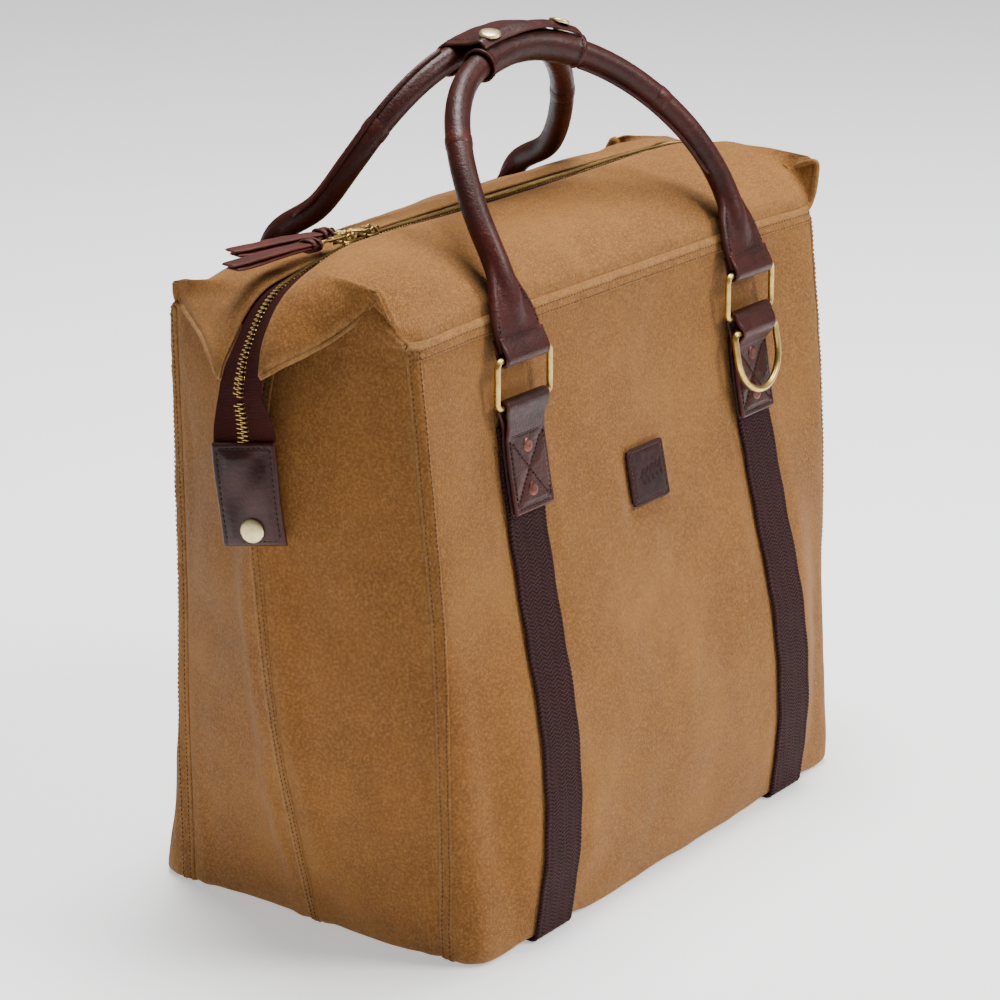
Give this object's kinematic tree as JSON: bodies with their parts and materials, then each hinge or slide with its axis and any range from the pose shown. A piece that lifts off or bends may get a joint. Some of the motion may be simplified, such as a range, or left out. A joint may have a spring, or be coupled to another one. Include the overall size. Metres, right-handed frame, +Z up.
{
  "type": "weekender bag",
  "caption": "Tall canvas travel bag with webbing straps, rolled leather handles hung on rings, a grip wrap, D-rings and a top zip that folds over both ends.",
  "frame": {"origin": "centre of the bag's footprint, on the surface that it stands on", "axes": "+Z up, +X along the bag's length and its zip, -Y towards the front panel with the patch"},
  "size_m": [0.5448, 0.28, 0.5373],
  "materials": {
    "canvas": "waxed, worn",
    "lining": "woven",
    "webbing": "herringbone weave",
    "zip_tape": "woven",
    "leather": "oiled, pebbled",
    "brass": "antique",
    "dark_brass": "dark antique",
    "copper": "aged copper",
    "cord": "dull",
    "board": "matte"
  },
  "bodies": {
    "bag": {"front_panel": "canvas", "back_panel": "canvas", "left_end_front": "canvas", "left_end_back": "canvas", "right_end_front": "canvas", "right_end_back": "canvas", "bottom_panel": "canvas", "base_board": "board", "top_panel_front": "canvas", "top_panel_back": "canvas", "lining": "lining", "front_zip_tape": "zip_tape", "back_zip_tape": "zip_tape", "zip_chain": "dark_brass", "left_strap": "webbing", "right_strap": "webbing", "front_left_chape": "leather", "front_right_chape": "leather", "back_left_chape": "leather", "back_right_chape": "leather", "chape_rivets": "copper", "front_patch": "leather", "end_snap_studs": "brass"},
    "front_rings": {"front_left_ring": "brass", "front_right_ring": "brass"},
    "back_rings": {"back_left_ring": "brass", "back_right_ring": "brass"},
    "front_handle": {"front_handle_grip": "leather", "front_handle_core": "cord", "front_handle_left_end": "leather", "front_handle_right_end": "leather", "wrap_sleeve": "leather", "wrap_snap_studs": "brass"},
    "back_handle": {"back_handle_grip": "leather", "back_handle_core": "cord", "back_handle_left_end": "leather", "back_handle_right_end": "leather"},
    "wrap_flap": {"wrap_flap": "leather", "wrap_snap_caps": "brass"},
    "front_dee_ring": {"front_dee_ring": "brass"},
    "back_dee_ring": {"back_dee_ring": "brass"},
    "left_slider": {"left_slider": "dark_brass"},
    "right_slider": {"right_slider": "dark_brass"},
    "left_pull": {"left_pull_bar": "dark_brass", "left_pull_lace": "leather"},
    "right_pull": {"right_pull_bar": "dark_brass", "right_pull_lace": "leather"},
    "left_tail": {"left_tail_tape": "zip_tape", "left_tail_chain": "dark_brass", "left_end_tab": "leather", "left_snap_cap": "brass", "left_snap_socket": "brass"},
    "right_tail": {"right_tail_tape": "zip_tape", "right_tail_chain": "dark_brass", "right_end_tab": "leather", "right_snap_cap": "brass", "right_snap_socket": "brass"}
  },
  "joints": [
    {"name": "front_rings_hinge", "type": "hinge", "parent": "bag", "child": "front_rings", "pos_m": [0, -0.103, 0.336], "axis": [1, 0, 0], "range_deg": [0, 55]},
    {"name": "front_handle_hinge", "type": "hinge", "parent": "front_rings", "child": "front_handle", "pos_m": [0, -0.103, 0.365], "axis": [1, 0, 0], "range_deg": [0, 138], "deforming": ["wrap_flap"]},
    {"name": "back_rings_hinge", "type": "hinge", "parent": "bag", "child": "back_rings", "pos_m": [0, 0.103, 0.336], "axis": [-1, 0, 0], "range_deg": [0, 55]},
    {"name": "back_handle_hinge", "type": "hinge", "parent": "back_rings", "child": "back_handle", "pos_m": [0, 0.103, 0.365], "axis": [-1, 0, 0], "range_deg": [0, 138]},
    {"name": "wrap_flap_hinge", "type": "hinge", "parent": "front_handle", "child": "wrap_flap", "pos_m": [0, 0.006, 0.511], "axis": [-1, 0, 0], "range_deg": [0, 110], "deforming": ["wrap_flap"]},
    {"name": "front_dee_hinge", "type": "hinge", "parent": "bag", "child": "front_dee_ring", "pos_m": [0.1285, -0.1075, 0.3265], "axis": [1, 0, 0], "range_deg": [-120, 0]},
    {"name": "back_dee_hinge", "type": "hinge", "parent": "bag", "child": "back_dee_ring", "pos_m": [-0.1285, 0.1075, 0.3265], "axis": [-1, 0, 0], "range_deg": [-120, 0]},
    {"name": "left_slider_slide", "type": "slide", "parent": "bag", "child": "left_slider", "axis": [-1, 0, 0], "range_m": [0, 0.026]},
    {"name": "right_slider_slide", "type": "slide", "parent": "bag", "child": "right_slider", "axis": [1, 0, 0], "range_m": [0, 0.334]},
    {"name": "left_pull_hinge", "type": "hinge", "parent": "left_slider", "child": "left_pull", "pos_m": [-0.168, 0, 0.4303], "axis": [0, 1, 0], "range_deg": [0, 120]},
    {"name": "right_pull_hinge", "type": "hinge", "parent": "right_slider", "child": "right_pull", "pos_m": [-0.145, 0, 0.4303], "axis": [0, 1, 0], "range_deg": [0, 120]},
    {"name": "left_tail_hinge", "type": "hinge", "parent": "bag", "child": "left_tail", "pos_m": [-0.268, 0, 0.3515], "axis": [0, 1, 0], "range_deg": [0, 100]},
    {"name": "right_tail_hinge", "type": "hinge", "parent": "bag", "child": "right_tail", "pos_m": [0.268, 0, 0.3515], "axis": [0, -1, 0], "range_deg": [0, 100]}
  ]
}
